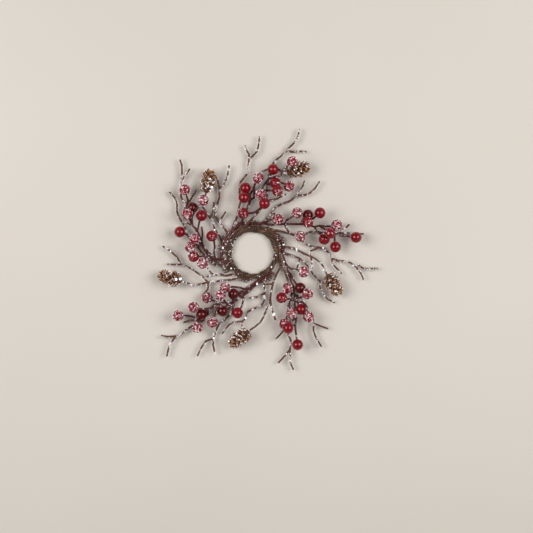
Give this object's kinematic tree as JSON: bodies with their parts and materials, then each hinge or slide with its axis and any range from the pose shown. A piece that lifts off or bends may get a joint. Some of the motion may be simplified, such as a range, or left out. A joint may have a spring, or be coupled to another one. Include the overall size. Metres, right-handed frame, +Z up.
{
  "type": "candle ring",
  "caption": "Small floral candle ring: a twisted vine hoop with wired sprays of frosted red berries, pine cones and bare forked twigs.",
  "frame": {"origin": "centre of the candle opening, on the plane that the ring rests on", "axes": "+Z up through the candle opening, +Y towards the spray at the top of the picture, +X to the right"},
  "size_m": [0.1976, 0.2176, 0.025],
  "materials": {
    "vine": "rough twisted vine, mid brown with ochre streaks",
    "binding": "brown paper-wrapped wire",
    "stem": "dark maroon-brown wrapped wire",
    "twig": "dark reddish-brown bark with grey-lilac frost",
    "berry": "deep red lacquer, partly frosted",
    "cone": "brown scales with pale frosted edges",
    "frost": "white sugar-like grains with a few sparkling crystals"
  },
  "bodies": {
    "root": {"vine_ring": "vine", "binding_wire_left": "binding", "binding_wire_top": "binding", "binding_wire_right": "binding", "binding_wire_bottom": "binding", "binding_wire_bottom_left": "binding", "binding_wire_lower_left": "binding", "berry_stem_top": "stem", "berry_stem_right": "stem", "berry_stem_lower_right": "stem", "berry_stem_lower_left": "stem", "berry_stem_left": "stem", "cone_stem_top_right": "twig", "cone_stem_top_left": "twig", "cone_stem_left": "twig", "cone_stem_bottom": "twig", "cone_stem_right": "twig", "twig_top": "twig", "twig_top_left": "twig", "twig_top_right": "twig", "twig_upper_right": "twig", "twig_right": "twig", "twig_right_low": "twig", "twig_lower_right": "twig", "twig_bottom": "twig", "twig_bottom_left": "twig", "twig_lower_left": "twig", "twig_left": "twig", "twig_tall_left": "twig", "twig_far_left": "twig", "berries_top": "berry", "berries_right": "berry", "berries_lower_right": "berry", "berries_lower_left": "berry", "berries_left": "berry", "pine_cone_top_right": "cone", "pine_cone_top_left": "cone", "pine_cone_left": "cone", "pine_cone_bottom": "cone", "pine_cone_right": "cone"}
  },
  "joints": []
}
